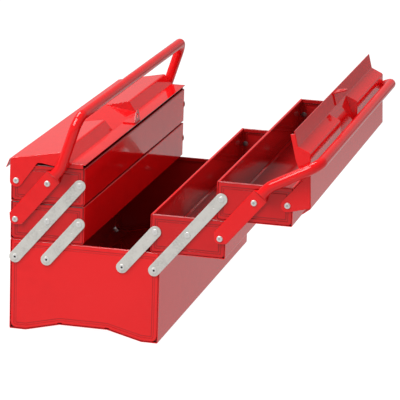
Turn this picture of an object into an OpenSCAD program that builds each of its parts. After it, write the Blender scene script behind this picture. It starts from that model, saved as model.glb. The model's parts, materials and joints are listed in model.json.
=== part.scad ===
// Cantilever tool box: a deep base, two banks of two trays that swing out on flat links,
// a lid on each upper tray, and a bent tube handle on each bank that is also a link.
// X runs across the box, Y along it, Z up. All sizes are in millimetres.

/* [Box] */
// Length of the box along the handles
box_l = 508; // [380:1:620]
// Width of the closed box
box_w = 200; // [180:1:240]
// Height of the base up to its rim
base_h = 121; // [100:1:150]
// Sheet thickness of the base
base_t = 1.2; // [1:0.1:1.6]
// Gap between the two banks when both are closed
bank_gap = 3; // [2:0.5:6]

/* [Underside] */
// Width of each long foot pressed along the lower edges
foot_w = 22; // [16:1:28]
// Width of the slope between a foot and the raised floor
ramp_w = 46; // [36:1:52]
// Height of the raised floor above the feet
arch_h = 11.3; // [6:0.1:16]

/* [Trays] */
// Height from one tray to the next
tray_pitch = 50.8; // [46:0.1:58]
// Sheet thickness of the trays
tray_t = 1; // [0.8:0.1:1.3]
// Gap between a tray and the rim below it
stack_gap = 0.4; // [0.3:0.05:0.8]
// Bevel of a tray's lower edge on the centre side
tray_bevel = 4; // [2:0.5:8]
// Thickness of the folded hem along each rim
hem_t = 2.6; // [2.2:0.1:3.4]
// Depth of the folded hem along each rim
hem_h = 5; // [3.5:0.5:8]

/* [End panels] */
// Depth of the flange that an end panel folds inwards
flange_d = 8; // [5:0.5:14]
// Seam between an end panel and the sheet round it
seam = 0.1; // [0.05:0.05:0.3]
// Distance of the pressed bead from the panel's edge
bead_in = 5.6; // [4:0.2:8]
// Width of the pressed bead
bead_w = 2.6; // [1.6:0.2:4]
// Depth of the pressed bead
bead_d = 0.5; // [0.3:0.05:0.6]
// Side of the small relief notch at a panel's lower corners
notch = 2.4; // [1.6:0.2:3.4]

/* [Linkage] */
// Clearance between the two banks' links along the centre line
link_clear = 0.2; // [0.1:0.05:0.6]
// Distance of the outer pivots from the outer wall
pivot_side = 7; // [7:0.1:9]
// Distance of each pivot below its rim
pivot_drop = 23; // [18:0.5:28]
// Width of the flat links
link_w = 15.6; // [12:0.1:16]
// Thickness of the flat links
link_t = 1.6; // [1.2:0.1:2.4]
// Standing gap between an end panel and the link on it
seat_gap = 0.5; // [0.3:0.05:0.8]
// Running gap of a turning piece between its seat and its rivet head
run_gap = 0.1; // [0.05:0.05:0.2]
// Radial clearance of a turning piece on its rivet
run_fit = 0.08; // [0.03:0.01:0.1]

/* [Rivets] */
// Diameter of the rivet shanks
rivet_d = 5; // [4:0.1:6]
// Diameter of the rivet heads
head_d = 8; // [7:0.1:9]
// Height of the domed rivet heads on the handles and lids
head_h = 1.8; // [1.2:0.1:2.4]
// Height of the low rivet heads on the links
link_head_h = 0.8; // [0.5:0.1:1.4]
// Height of the closing heads inside the box
tail_h = 1.5; // [1:0.1:2.2]

/* [Handles] */
// Diameter of the handle tube
tube_d = 14; // [12:0.5:16]
// Width of the flattened tube ends
strap_w = 22; // [18:0.5:23]
// Thickness of the flattened tube ends
strap_t = 3; // [2.4:0.1:3.6]
// Length of flattened tube beyond the upper rivet
strap_run = 11; // [9:0.5:13]
// Length over which the tube goes from flat to round
swage_l = 8; // [6:0.5:11]
// Clearance between the round tube and the pieces that it passes
tube_clear = 1.8; // [1.2:0.1:2.5]
// Distance from the upper rivet to the bend of the leg
knee_out = 32; // [28:1:38]
// Angle of the bend in the leg
knee_angle = 22.5; // [16:0.5:26]
// Radius of the bend in the leg
knee_r = 30; // [20:1:38]
// Gap along the leg between the open lid's roof and the grip
grip_gap = 7; // [6.5:0.5:10]
// Radius of the corner between leg and grip
corner_r = 19; // [14:0.5:19]

/* [Lids] */
// Thickness of the lid sheet
lid_t = 1; // [0.8:0.1:1.3]
// Height of the lid's flat edge above the tray rim
lid_rise = 5.6; // [4.5:0.1:8]
// Distance from the centre line to the lid's edge
lid_in = 1; // [0.8:0.1:2]
// Depth of the turned edge along the centre side
edge_h = 3; // [2:0.1:4]
// Width of the flat flange along the centre side
flange_w = 20; // [18:0.5:24]
// Width of the steep face beside the flange
face_w = 11; // [8:0.5:15]
// Height of the crest above the flange
crest_h = 14; // [8:0.5:18]
// Overhang of the lid's outer corner beyond the tray wall
eave = 2; // [1.5:0.1:4]
// Sideways reach of the sloping lip under the outer corner
lip_out = 5; // [3:0.5:7]
// Depth of the sloping lip under the outer corner
lip_h = 12; // [8:0.5:14]
// Half the length of the valley where it meets the flange
valley_foot = 56; // [40:1:80]
// Half the gap between the two crests
valley_crest = 60; // [44:1:84]
// Half the length of the valley's outer end
valley_end = 48; // [32:1:70]
// Width of the valley's floor
valley_w = 38; // [26:1:50]
// Gap between a lid's end plate and the end panel
ear_gap = 0.4; // [0.3:0.05:0.8]
// Depth of the end plate below the tray rim
skirt_lap = 0.6; // [0.2:0.1:2]
// Radius of the ear round the lid's pivot
ear_r = 8.5; // [7.5:0.1:9.5]
// Slant of the ear's inner side from upright
ear_slant = 35; // [25:1:45]
// Angle through which a lid opens
lid_angle = 76; // [60:1:77]

/* [Hasps] */
// Thickness of the hasp plate
hasp_t = 1.6; // [1.2:0.1:2.2]
// Width of the hasp along the lid
hasp_w = 26; // [20:1:34]
// Length of the hasp's foot across the flange
hasp_foot = 17; // [12:0.5:18]
// Distance of the hasp's tab from the lid's edge
hasp_in = 1.6; // [1:0.1:3]
// Height of the padlock hole above the flange
hasp_hole_z = 9.6; // [8.5:0.1:13]
// Diameter of the padlock hole
hasp_hole_d = 6.6; // [5:0.1:8]
// Width of metal round the padlock hole
hasp_rim = 4.6; // [3.5:0.1:6]

/* [Pose] */
// How far the left bank is swung out, from closed to fully open
left_share = 0; // [0:0.01:1]
// How far the right bank is swung out, from closed to fully open
right_share = 1; // [0:0.01:1]
// How far the left lid is open
left_lid_share = 0; // [0:0.01:1]
// How far the right lid is open
right_lid_share = 1; // [0:0.01:1]

/* [Hidden] */
$fn = 48;

paint = [0.86, 0.09, 0.09];
zinc = [0.78, 0.77, 0.74];
steel = [0.88, 0.88, 0.87];

LEFT = -1;
RIGHT = 1;
FRONT = -1;
REAR = 1;

// Overrun of every cut past the face that it leaves
over = 1;

half_l = box_l / 2;
half_w = box_w / 2;
tray_in = bank_gap / 2;
tray_h = tray_pitch - stack_gap;
lower_z = base_h + stack_gap;
upper_z = lower_z + tray_pitch;
rim_z = upper_z + tray_h;

// Pivots of a closed bank, measured outwards from the centre line
inner_u = link_w / 2 + link_clear;
outer_u = half_w - pivot_side;
mid_u = (inner_u + outer_u) / 2;
step = outer_u - mid_u;
base_pivot_z = base_h - pivot_drop;
lower_pivot_z = base_pivot_z + tray_pitch;
upper_pivot_z = lower_pivot_z + tray_pitch;

// One stage of the linkage: its length, and its lean from upright when closed
arm_l = sqrt(step * step + tray_pitch * tray_pitch);
lean = atan(step / tray_pitch);

// Places across a lid, measured outwards from the centre line
foot_u = lid_in + flange_w;
crest_u = foot_u + face_w;
eave_u = half_w + eave;
lid_flat_z = rim_z + lid_rise;
crest_z = lid_flat_z + crest_h;
valley_u = foot_u + valley_w;
slope = (crest_z - lid_flat_z) / (eave_u - crest_u);
valley_z = lid_flat_z + slope * (eave_u - valley_u);
lid_y = half_l + ear_gap + lid_t;

// The knee and the leg's direction as the open lid sees them, in the closed lid's own frame
function turned_back(v, a) = [v.x * cos(a) - v.y * sin(a), v.y * cos(a) + v.x * sin(a)];
knee_from_lid = [
  (arm_l + knee_out) * sin(lean) - 2 * step,
  (arm_l + knee_out) * cos(lean) - tray_pitch
];
knee_at = turned_back(knee_from_lid, lid_angle);
leg_at = turned_back([sin(lean + knee_angle), cos(lean + knee_angle)], lid_angle);
eave_at = [eave_u - outer_u, lid_flat_z - upper_pivot_z];

// The leg crosses the open lid's roof, and the grip stays clear of it
leg_to_roof = (eave_at.y - knee_at.y + slope * (eave_at.x - knee_at.x))
  / (leg_at.y + slope * leg_at.x);
leg_l = leg_to_roof + tube_d / 2 + grip_gap;

// Places of the handle tube beyond the end panels
strap_y = half_l + seat_gap;
tube_y = half_l + seat_gap + lid_t + tube_clear + tube_d / 2;

// Pose of each bank
function share_of(side) = side == LEFT ? left_share : right_share;
function lid_share_of(side) = side == LEFT ? left_lid_share : right_lid_share;
function lean_of(side) = lean * (2 * share_of(side) - 1);
function lid_turn(side) = lid_angle * lid_share_of(side);
function stage(side) = [
  arm_l * sin(lean_of(side)) + step, 0, arm_l * cos(lean_of(side)) - tray_pitch
];

// How far each bank reaches from the centre line, for the origin under the whole part
function turned_u(u, z, a) = u * cos(a) + z * sin(a);
function grip_u(side) = mid_u + 2 * stage(side).x + knee_out * sin(lean_of(side))
  + leg_l * sin(lean_of(side) + knee_angle);
function eave_reach(side) = outer_u + 2 * stage(side).x
  + turned_u(eave_u - outer_u, lid_flat_z - upper_pivot_z, lid_turn(side));
function lip_reach(side) = outer_u + 2 * stage(side).x
  + turned_u(eave_u + lip_out - outer_u, lid_flat_z - lip_h - upper_pivot_z, lid_turn(side));
function reach(side) = max(grip_u(side) + tube_d / 2, eave_reach(side), lip_reach(side));
origin_x = (reach(RIGHT) - reach(LEFT)) / 2;

// Outlines across the box. inset moves the walls and floor inwards, top lowers the rim.
function base_outline(inset, top) = [
  [-half_w + inset, base_h - top],
  [-half_w + inset, inset],
  [-half_w + foot_w, inset],
  [-half_w + foot_w + ramp_w, arch_h + inset],
  [half_w - foot_w - ramp_w, arch_h + inset],
  [half_w - foot_w, inset],
  [half_w - inset, inset],
  [half_w - inset, base_h - top]
];
// The bevel keeps its wall thickness, so it shrinks to a corner as the outline moves inwards
function tray_outline(inset, top) =
  let (u = tray_in + inset, bevel = tray_bevel - inset * (2 - sqrt(2)))
  concat(
    [[u, tray_h - top]],
    bevel > 0 ? [[u, inset + bevel], [u + bevel, inset]] : [[u, inset]],
    [[half_w - inset, inset], [half_w - inset, tray_h - top]]
  );

// Flat shapes in X and Z, given thickness along Y from the near face towards the far one
module across(y0, y1) {
  translate([0, y1, 0])
    rotate([90, 0, 0])
      linear_extrude(y1 - y0) children();
}

module peg(d, y0, y1) {
  translate([0, y1, 0])
    rotate([90, 0, 0])
      cylinder(d = d, h = y1 - y0);
}

// Everything is drawn at the front end and on the right, then mirrored where it belongs
module at_end(end) {
  mirror([0, end == REAR ? 1 : 0, 0]) children();
}

module both_ends() {
  at_end(FRONT) children();
  at_end(REAR) children();
}

module at_side(side) {
  translate([-origin_x, 0, 0])
    mirror([side == LEFT ? 1 : 0, 0, 0]) children();
}

module at_pivot(u, z) {
  translate([u, 0, z]) children();
}

module on_lower(side) {
  translate(stage(side)) children();
}

module on_upper(side) {
  translate(2 * stage(side)) children();
}

// A trough of sheet open at both ends, with a hem folded inwards along each long rim
module trough(outer, inner, t, u0, u1, h) {
  across(-half_l, half_l)
    difference() {
      polygon(outer);
      polygon(inner);
    }
  hem_y = half_l - flange_d - seam;
  // Each hem reaches into the middle of the sheet that it is folded from
  for (u = [u0 + t / 2, u1 - hem_t])
    translate([u, -hem_y, h - hem_h])
      cube([hem_t - t / 2, 2 * hem_y, hem_h]);
}

// An end panel at the front: a pan with a flange, a hem on top and a pressed bead
module pan(plate, hollow, bead_out, bead_in_line, t, u0, u1, h) {
  difference() {
    union() {
      across(-half_l, -half_l + flange_d)
        difference() {
          polygon(plate);
          polygon(hollow);
        }
      across(-half_l, -half_l + t) polygon(plate);
      translate([u0 + 2 * t, -half_l, h - hem_h])
        cube([u1 - u0 - 4 * t, hem_t, hem_h]);
    }
    across(-half_l - over, -half_l + bead_d)
      difference() {
        polygon(bead_out);
        polygon(bead_in_line);
      }
    for (u = [u0 + t, u1 - t - notch])
      translate([u - over, -half_l - over, 0])
        cube([notch + 2 * over, t + flange_d + 2 * over, t + seam + notch]);
    children();
  }
}

// What a rivet holds: its standing gap from the panel, its thickness, and the head's height
held_link = [seat_gap, link_t, link_head_h];
held_strap = [seat_gap, strap_t, head_h];
held_ear = [ear_gap, lid_t, head_h];

// A shoulder rivet through the front panel of sheet thickness t
module rivet(t, held) {
  face = -half_l;
  seat = face - held[0] + run_gap;
  head = face - held[0] - held[1] - run_gap / 2;
  cap_h = held[2];
  cap_r = (head_d * head_d / 4 + cap_h * cap_h) / (2 * cap_h);
  peg(rivet_d, head - cap_h / 2, face + t + tail_h / 2);
  peg(head_d, seat, face);
  peg(head_d, face + t, face + t + tail_h);
  intersection() {
    translate([0, head - cap_h + cap_r, 0]) sphere(cap_r);
    peg(head_d, head - cap_h - over, head);
  }
}

module rivet_holes(places) {
  for (p = places)
    at_pivot(p.x, p.y)
      peg(rivet_d, -half_l - over, -half_l + flange_d + over);
}

// A flat bar with round ends, standing on its lowest pivot, with a hole at each pivot
module link(stages) {
  y1 = -half_l - seat_gap;
  y0 = y1 - link_t;
  length = stages * arm_l;
  difference() {
    union() {
      translate([-link_w / 2, y0, 0])
        cube([link_w, link_t, length]);
      for (z = [0, length])
        at_pivot(0, z)
          peg(link_w, y0, y1);
    }
    for (i = [0 : stages])
      at_pivot(0, i * arm_l)
        peg(rivet_d + 2 * run_fit, y0 - over, y1 + over);
  }
}

module long_link(side, end) {
  color(zinc)
    at_side(side)
      at_end(end)
        at_pivot(outer_u, base_pivot_z)
          rotate([0, lean_of(side), 0]) link(2);
}

module short_link(side, end) {
  color(zinc)
    at_side(side)
      at_end(end)
        at_pivot(mid_u, base_pivot_z)
          rotate([0, lean_of(side), 0]) link(1);
}

base_pivots = [[outer_u, base_pivot_z], [mid_u, base_pivot_z]];
tray_pivots = [for (u = [inner_u, mid_u, outer_u]) [u, tray_h - pivot_drop]];

module base_body() {
  color(paint)
    translate([-origin_x, 0, 0])
      trough(base_outline(0, 0), base_outline(base_t, -over), base_t, -half_w, half_w, base_h);
}

module base_panel(end) {
  color(paint)
    translate([-origin_x, 0, 0])
      at_end(end)
        pan(
          base_outline(base_t + seam, 0), base_outline(2 * base_t + seam, -over),
          base_outline(bead_in, bead_in), base_outline(bead_in + bead_w, bead_in + bead_w),
          base_t, -half_w, half_w, base_h
        )
          for (m = [0, 1])
            mirror([m, 0, 0]) rivet_holes(base_pivots);
}

module base_rivets() {
  color(steel)
    for (side = [LEFT, RIGHT])
      at_side(side)
        both_ends()
          for (p = base_pivots)
            at_pivot(p.x, p.y) rivet(base_t, held_link);
}

module tray_body() {
  color(paint)
    trough(tray_outline(0, 0), tray_outline(tray_t, -over), tray_t, tray_in, half_w, tray_h);
}

module tray_panel(end) {
  color(paint)
    at_end(end)
      pan(
        tray_outline(tray_t + seam, 0), tray_outline(2 * tray_t + seam, -over),
        tray_outline(bead_in, bead_in), tray_outline(bead_in + bead_w, bead_in + bead_w),
        tray_t, tray_in, half_w, tray_h
      )
        rivet_holes(tray_pivots);
}

// held gives, pivot by pivot from the centre outwards, what each rivet holds
module tray_rivets(held) {
  color(steel)
    both_ends()
      for (i = [0 : len(tray_pivots) - 1])
        at_pivot(tray_pivots[i].x, tray_pivots[i].y) rivet(tray_t, held[i]);
}

module lower_tray(side) {
  at_side(side)
    on_lower(side)
      translate([0, 0, lower_z]) children();
}

module upper_tray(side) {
  at_side(side)
    on_upper(side)
      translate([0, 0, upper_z]) children();
}

module lower_rivets(side) {
  lower_tray(side)
    tray_rivets([held_link, held_link, held_strap]);
}

module upper_rivets(side) {
  upper_tray(side)
    tray_rivets([held_link, held_strap, held_ear]);
}

// The flattened end of the tube, with its rivet holes
module strap() {
  y1 = -strap_y;
  y0 = y1 - strap_t;
  difference() {
    union() {
      translate([-strap_w / 2, y0, 0])
        cube([strap_w, strap_t, arm_l + strap_run]);
      peg(strap_w, y0, y1);
    }
    for (z = [0, arm_l])
      at_pivot(0, z)
        peg(rivet_d + 2 * run_fit, y0 - over, y1 + over);
  }
}

// The tube beyond the flattened ends is a ring of points carried along its path.
// A station holds a ring's centre, its two axes, and how round it is from 0 to 1.
tube_sides = 24;
swage_steps = 5;
knee_steps = 5;
corner_steps = 9;

function flat_point(a) = [
  strap_w / 2 * max(-1, min(1, sqrt(2) * cos(a))),
  strap_t / 2 * max(-1, min(1, sqrt(2) * sin(a)))
];
function section_point(a, roundness) =
  (1 - roundness) * flat_point(a) + roundness * tube_d / 2 * [cos(a), sin(a)];

along = [0, 1, 0];
flat_y = -strap_y - strap_t / 2;
swage_z = arm_l + strap_run;
leg_dir = [sin(knee_angle), 0, cos(knee_angle)];
leg_side = [cos(knee_angle), 0, -sin(knee_angle)];
knee_z = arm_l + knee_out;
bend_z = knee_z - knee_r * tan(knee_angle / 2);
corner_centre = [0, corner_r - tube_y, knee_z] + (leg_l - corner_r) * leg_dir;

// Stations of the front half, from inside the flattened end to the start of the grip
half_stations = concat(
  [[[0, flat_y, swage_z - strap_t], [1, 0, 0], along, 0]],
  [
    for (i = [0 : swage_steps])
      let (f = i / swage_steps, ease = f * f * (3 - 2 * f))
        [
          [0, flat_y - ease * (tube_y + flat_y), swage_z + f * swage_l],
          [1, 0, 0], along, ease
        ]
  ],
  [
    for (i = [0 : knee_steps])
      let (a = i / knee_steps * knee_angle)
        [
          [knee_r * (1 - cos(a)), -tube_y, bend_z + knee_r * sin(a)],
          [cos(a), 0, -sin(a)], along, 1
        ]
  ],
  [
    for (i = [0 : corner_steps])
      let (a = i / corner_steps * 90)
        [
          corner_centre - corner_r * cos(a) * along + corner_r * sin(a) * leg_dir,
          leg_side, cos(a) * along - sin(a) * leg_dir, 1
        ]
  ]
);

function flipped(v) = [v.x, -v.y, v.z];
stations = concat(
  half_stations,
  [
    for (i = [len(half_stations) - 1 : -1 : 0])
      let (s = half_stations[i]) [flipped(s[0]), s[1], flipped(s[2]), s[3]]
  ]
);

module tube() {
  n = tube_sides;
  rings = len(stations);
  points = [
    for (s = stations, k = [0 : n - 1])
      let (q = section_point(k * 360 / n, s[3])) s[0] + q.x * s[1] + q.y * s[2]
  ];
  skin = [
    for (i = [0 : rings - 2], k = [0 : n - 1])
      let (a = i * n + k, b = i * n + (k + 1) % n)
        each [[b + n, b, a], [a + n, b + n, a]]
  ];
  last = (rings - 1) * n;
  caps = [
    for (k = [0 : n - 1])
      let (m = (k + 1) % n)
        each [[k, m, rings * n], [last + m, last + k, rings * n + 1]]
  ];
  polyhedron(
    concat(points, [stations[0][0], stations[rings - 1][0]]),
    concat(skin, caps)
  );
}

module handle(side) {
  color(paint)
    at_side(side)
      on_lower(side)
        at_pivot(outer_u, lower_pivot_z)
          rotate([0, lean_of(side), 0]) {
            both_ends() strap();
            tube();
          }
}

// The pressed roof of a lid: the corners of its upper face
lid_corners = [
  [eave_u, -lid_y, lid_flat_z], [eave_u, lid_y, lid_flat_z],
  [crest_u, lid_y, crest_z], [crest_u, valley_crest, crest_z],
  [valley_u, valley_end, valley_z], [valley_u, -valley_end, valley_z],
  [crest_u, -valley_crest, crest_z], [crest_u, -lid_y, crest_z],
  [foot_u, lid_y, lid_flat_z], [foot_u, valley_foot, lid_flat_z],
  [foot_u, -valley_foot, lid_flat_z], [foot_u, -lid_y, lid_flat_z],
  [lid_in, lid_y, lid_flat_z], [lid_in, -lid_y, lid_flat_z]
];
lid_faces = [
  [5, 4, 1, 0], [7, 6, 5, 0], [4, 3, 2, 1], [9, 8, 2, 3], [11, 10, 6, 7],
  [9, 3, 4], [10, 5, 6], [10, 9, 4, 5], [13, 12, 8], [13, 8, 9], [13, 9, 10], [13, 10, 11]
];
lid_edge = [0, 1, 2, 8, 12, 13, 11, 7];

// How far each bend of the roof moves between its upper and its lower face
face_slant = atan(crest_h / face_w);
slope_slant = atan(slope);
crest_bend = (face_slant - slope_slant) / 2;
crest_mitre = lid_t / cos((face_slant + slope_slant) / 2);
function under(u) =
  u == crest_u ? [crest_mitre * sin(crest_bend), 0, -crest_mitre * cos(crest_bend)]
  : u == foot_u ? [lid_t * tan(face_slant / 2), 0, -lid_t]
  : u == lid_in ? [0, 0, -lid_t]
  : [0, 0, -lid_t / cos(slope_slant)];

module lid_roof() {
  n = len(lid_corners);
  lower = [for (p = lid_corners) p + under(p.x)];
  lower_faces = [for (f = lid_faces) [for (i = [len(f) - 1 : -1 : 0]) f[i] + n]];
  rim = [
    for (i = [0 : len(lid_edge) - 1])
      let (a = lid_edge[i], b = lid_edge[(i + 1) % len(lid_edge)])
        [a, b, b + n, a + n]
  ];
  polyhedron(concat(lid_corners, lower), concat(rim, lid_faces, lower_faces));
}

// The end plate: it follows the roof, hangs just past the rim and drops to the pivot as an ear
module lid_end() {
  skirt_z = rim_z - skirt_lap;
  tangent_u = outer_u - ear_r * cos(ear_slant);
  tangent_z = upper_pivot_z - ear_r * sin(ear_slant);
  slant_u = tangent_u - (skirt_z - tangent_z) * tan(ear_slant);
  difference() {
    across(-lid_y, -lid_y + lid_t) {
      polygon([
        [lid_in, lid_flat_z], [foot_u, lid_flat_z], [crest_u, crest_z], [eave_u, lid_flat_z],
        [outer_u + ear_r, upper_pivot_z], [outer_u, upper_pivot_z], [tangent_u, tangent_z],
        [slant_u, skirt_z], [lid_in, skirt_z]
      ]);
      translate([outer_u, upper_pivot_z]) circle(ear_r);
    }
    at_pivot(outer_u, upper_pivot_z)
      peg(rivet_d + 2 * run_fit, -lid_y - over, -lid_y + lid_t + over);
  }
}

module lid_sheet() {
  lid_roof();
  both_ends() lid_end();
  across(-lid_y, lid_y) {
    polygon([
      [eave_u, lid_flat_z], [eave_u + lip_out, lid_flat_z - lip_h],
      [eave_u + lip_out - lid_t, lid_flat_z - lip_h], [eave_u - lid_t, lid_flat_z]
    ]);
    polygon([
      [lid_in, lid_flat_z], [lid_in + lid_t, lid_flat_z],
      [lid_in + lid_t, lid_flat_z - edge_h], [lid_in, lid_flat_z - edge_h]
    ]);
  }
}

module hasp_plate() {
  u = lid_in + hasp_in;
  rim_r = hasp_hole_d / 2 + hasp_rim;
  shoulder = rim_r * sin(ear_slant);
  translate([u, -hasp_w / 2, lid_flat_z])
    cube([hasp_foot, hasp_w, hasp_t]);
  translate([u, 0, lid_flat_z])
    rotate([90, 0, 90])
      linear_extrude(hasp_t)
        difference() {
          union() {
            polygon([
              [-hasp_w / 2, 0], [hasp_w / 2, 0], [hasp_w / 2, hasp_t],
              [rim_r * cos(ear_slant), hasp_hole_z + shoulder],
              [-rim_r * cos(ear_slant), hasp_hole_z + shoulder], [-hasp_w / 2, hasp_t]
            ]);
            translate([0, hasp_hole_z]) circle(rim_r);
          }
          translate([0, hasp_hole_z]) circle(d = hasp_hole_d);
        }
}

// What a lid carries turns with it about its pivots on the upper tray
module on_lid(side) {
  at_side(side)
    on_upper(side)
      at_pivot(outer_u, upper_pivot_z)
        rotate([0, lid_turn(side), 0])
          at_pivot(-outer_u, -upper_pivot_z) children();
}

module lid(side) {
  color(paint) on_lid(side) lid_sheet();
}

module hasp(side) {
  color(paint) on_lid(side) hasp_plate();
}

base_body();
base_panel(FRONT);  // base_front_panel
base_panel(REAR);  // base_rear_panel
base_rivets();
long_link(LEFT, FRONT);  // left_front_long_link
long_link(LEFT, REAR);  // left_rear_long_link
short_link(LEFT, FRONT);  // left_front_short_link
short_link(LEFT, REAR);  // left_rear_short_link
lower_tray(LEFT) tray_body();  // left_lower_tray_body
lower_tray(LEFT) tray_panel(FRONT);  // left_lower_tray_front_panel
lower_tray(LEFT) tray_panel(REAR);  // left_lower_tray_rear_panel
lower_rivets(LEFT);  // left_lower_tray_rivets
upper_tray(LEFT) tray_body();  // left_upper_tray_body
upper_tray(LEFT) tray_panel(FRONT);  // left_upper_tray_front_panel
upper_tray(LEFT) tray_panel(REAR);  // left_upper_tray_rear_panel
upper_rivets(LEFT);  // left_upper_tray_rivets
handle(LEFT);  // left_handle
lid(LEFT);  // left_lid
hasp(LEFT);  // left_hasp
long_link(RIGHT, FRONT);  // right_front_long_link
long_link(RIGHT, REAR);  // right_rear_long_link
short_link(RIGHT, FRONT);  // right_front_short_link
short_link(RIGHT, REAR);  // right_rear_short_link
lower_tray(RIGHT) tray_body();  // right_lower_tray_body
lower_tray(RIGHT) tray_panel(FRONT);  // right_lower_tray_front_panel
lower_tray(RIGHT) tray_panel(REAR);  // right_lower_tray_rear_panel
lower_rivets(RIGHT);  // right_lower_tray_rivets
upper_tray(RIGHT) tray_body();  // right_upper_tray_body
upper_tray(RIGHT) tray_panel(FRONT);  // right_upper_tray_front_panel
upper_tray(RIGHT) tray_panel(REAR);  // right_upper_tray_rear_panel
upper_rivets(RIGHT);  // right_upper_tray_rivets
handle(RIGHT);  // right_handle
lid(RIGHT);  // right_lid
hasp(RIGHT);  // right_hasp
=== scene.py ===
"""A red sheet-steel tool box with cantilever trays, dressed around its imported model."""

import json
import math

import bpy
import numpy as np
from mathutils import Matrix, Vector


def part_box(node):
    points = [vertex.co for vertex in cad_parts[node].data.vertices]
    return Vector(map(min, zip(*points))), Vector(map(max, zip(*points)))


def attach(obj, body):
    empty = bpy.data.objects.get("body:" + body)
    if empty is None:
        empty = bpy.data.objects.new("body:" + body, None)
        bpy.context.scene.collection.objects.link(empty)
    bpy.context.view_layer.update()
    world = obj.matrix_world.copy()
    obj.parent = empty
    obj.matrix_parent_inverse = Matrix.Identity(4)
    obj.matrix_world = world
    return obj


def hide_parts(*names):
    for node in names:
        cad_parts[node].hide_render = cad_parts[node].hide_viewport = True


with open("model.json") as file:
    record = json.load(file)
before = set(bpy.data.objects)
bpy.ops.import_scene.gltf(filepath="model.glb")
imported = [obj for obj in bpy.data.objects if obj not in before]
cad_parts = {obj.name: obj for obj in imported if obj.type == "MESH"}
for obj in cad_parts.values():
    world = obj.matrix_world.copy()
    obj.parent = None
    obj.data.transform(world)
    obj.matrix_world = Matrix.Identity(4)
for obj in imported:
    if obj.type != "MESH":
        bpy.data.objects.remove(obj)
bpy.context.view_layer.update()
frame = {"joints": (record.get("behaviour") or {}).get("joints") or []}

# Every length below is in millimetres, and meshes are made in metres
MM = 0.001
TURN = 2 * math.pi
LEFT, RIGHT = -1, 1
FRONT, REAR = -1, 1
SIDE_NAMES = {LEFT: "left", RIGHT: "right"}
END_NAMES = {FRONT: "front", REAR: "rear"}

# Sizes read from the frame: the base and a closed tray
base_low, base_high = (np.array(corner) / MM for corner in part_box("base_body"))
tray_low, tray_high = (np.array(corner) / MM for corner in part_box("left_lower_tray_body"))
CENTRE_X = (base_low[0] + base_high[0]) / 2
HALF_W = (base_high[0] - base_low[0]) / 2
HALF_L = base_high[1]
BASE_H = base_high[2]
TRAY_H = tray_high[2] - tray_low[2]
TRAY_IN = CENTRE_X - tray_high[0]
BASE_T = 1.2
TRAY_T = 1.0

# Small lengths and shares that many shapes use
NUDGE = 0.02  # keeps two faces apart
SLIM = 0.1  # a barely rounded edge, or the margin round a line
GUARD = 0.3  # from a fold to the point that keeps the flat beside it shaded flat
BESIDE = 0.4  # the same, beside beads, notches and rims
MOST = 0.98  # of a length, where its whole would make two points meet
TINY = 1e-6
SMOOTH_ANGLE = 32
ROUND_STEPS = 40

# Sheet work: hems, folds, beads, flanges and notches
HEM_T = 3.3
HEM_H = 5.0
HEM_TURN = 1.2  # height of the fold at its top
HEM_SOFT = 0.05
HEM_TOP_R = 0.8
FOLD_R = 1.1
SEAM = 0.1  # between the trough and an end panel
FLANGE_D = 8.0
BEAD_IN = 5.6
BEAD_W = 3.6
BEAD_D = 0.3
BEAD_SIDE = 0.9
PAN_BEND = 1.5
PANEL_FLAT = 6.0
PANEL_FOLD_R = 2.0
LEAST_CORNER = 1.0
BASE_CORNER = 7.5
TRAY_CORNER = 4.5
NOTCH_W = 3.2
NOTCH_D = 1.8
LEAF_BACK = 0.6  # from the trough's ends to its hems' inner leaves
RIM_DROP = 0.03  # from the trough's rim to an end panel's
RIM_RUN = 0.4  # length of the flange along the rim
RIM_EASE = 3.0  # inset within which the panel's rings come down from the rim
FOOT_W = 22.0
RAMP_W = 46.0
ARCH_H = 11.3
TRAY_BEVEL = 2.6

# Linkage: flat links, flattened tube ends and rivets
LINK_W = 15.6
LINK_T = 1.6
LINK_EDGE = 0.35
LINK_STEP = 3.0
LINK_TIP_ANGLE = 0.06  # from the tip to its first row of points
SEAT_GAP = 0.5
RUN_GAP = 0.05
RIVET_D = 5.0
HEAD_D = 8.0
HEAD_H = 1.8
HEAD_EDGE = HEAD_D / 7  # width over which the head falls to its rim
HEAD_RIM = 0.2
HEAD_SIDE = 0.12
HEAD_SHARE = 0.995  # of the quarter ellipse, short of where it stands upright
LINK_HEAD_H = 0.8
TAIL_H = 1.5
STAMP_R = 1.6
STAMP_D = 0.5
STAMP_DOWN = 15.0  # from a pivot down to its stamp
TUBE_D = 14.0
TUBE_CLEAR = 1.8  # between the tube and a lid
TUBE_POWER = 2
STRAP_W = 22.0
STRAP_T = 3.0
STRAP_POWER = 9
STRAP_RUN = 11.0  # from the upper pivot to the end of the flat
STRAP_TIP = 7.2
STRAP_TIP_ANGLE = 0.08
SWAGE_L = 8.0
KNEE_OUT = 32.0
KNEE_ANGLE = 22.5
KNEE_R = 30.0
LEG_L = 69.7829
CORNER_R = 19.0

# Lids: the pressed section, its valley, and the end plates with their skirts and ears
LID_T = 1.0
LID_RISE = 5.6
LID_IN = 1.0
LID_STEP = 0.7
FLANGE_W = 20.0
FACE_W = 11.0
CREST_H = 14.0
FOOT_R = 2.5
CREST_R = 3.5
EAVE_R = 2.5
EAVE = 2.0
LIP_OUT = 5.0
LIP_H = 12.0
END_R = 0.8
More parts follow.
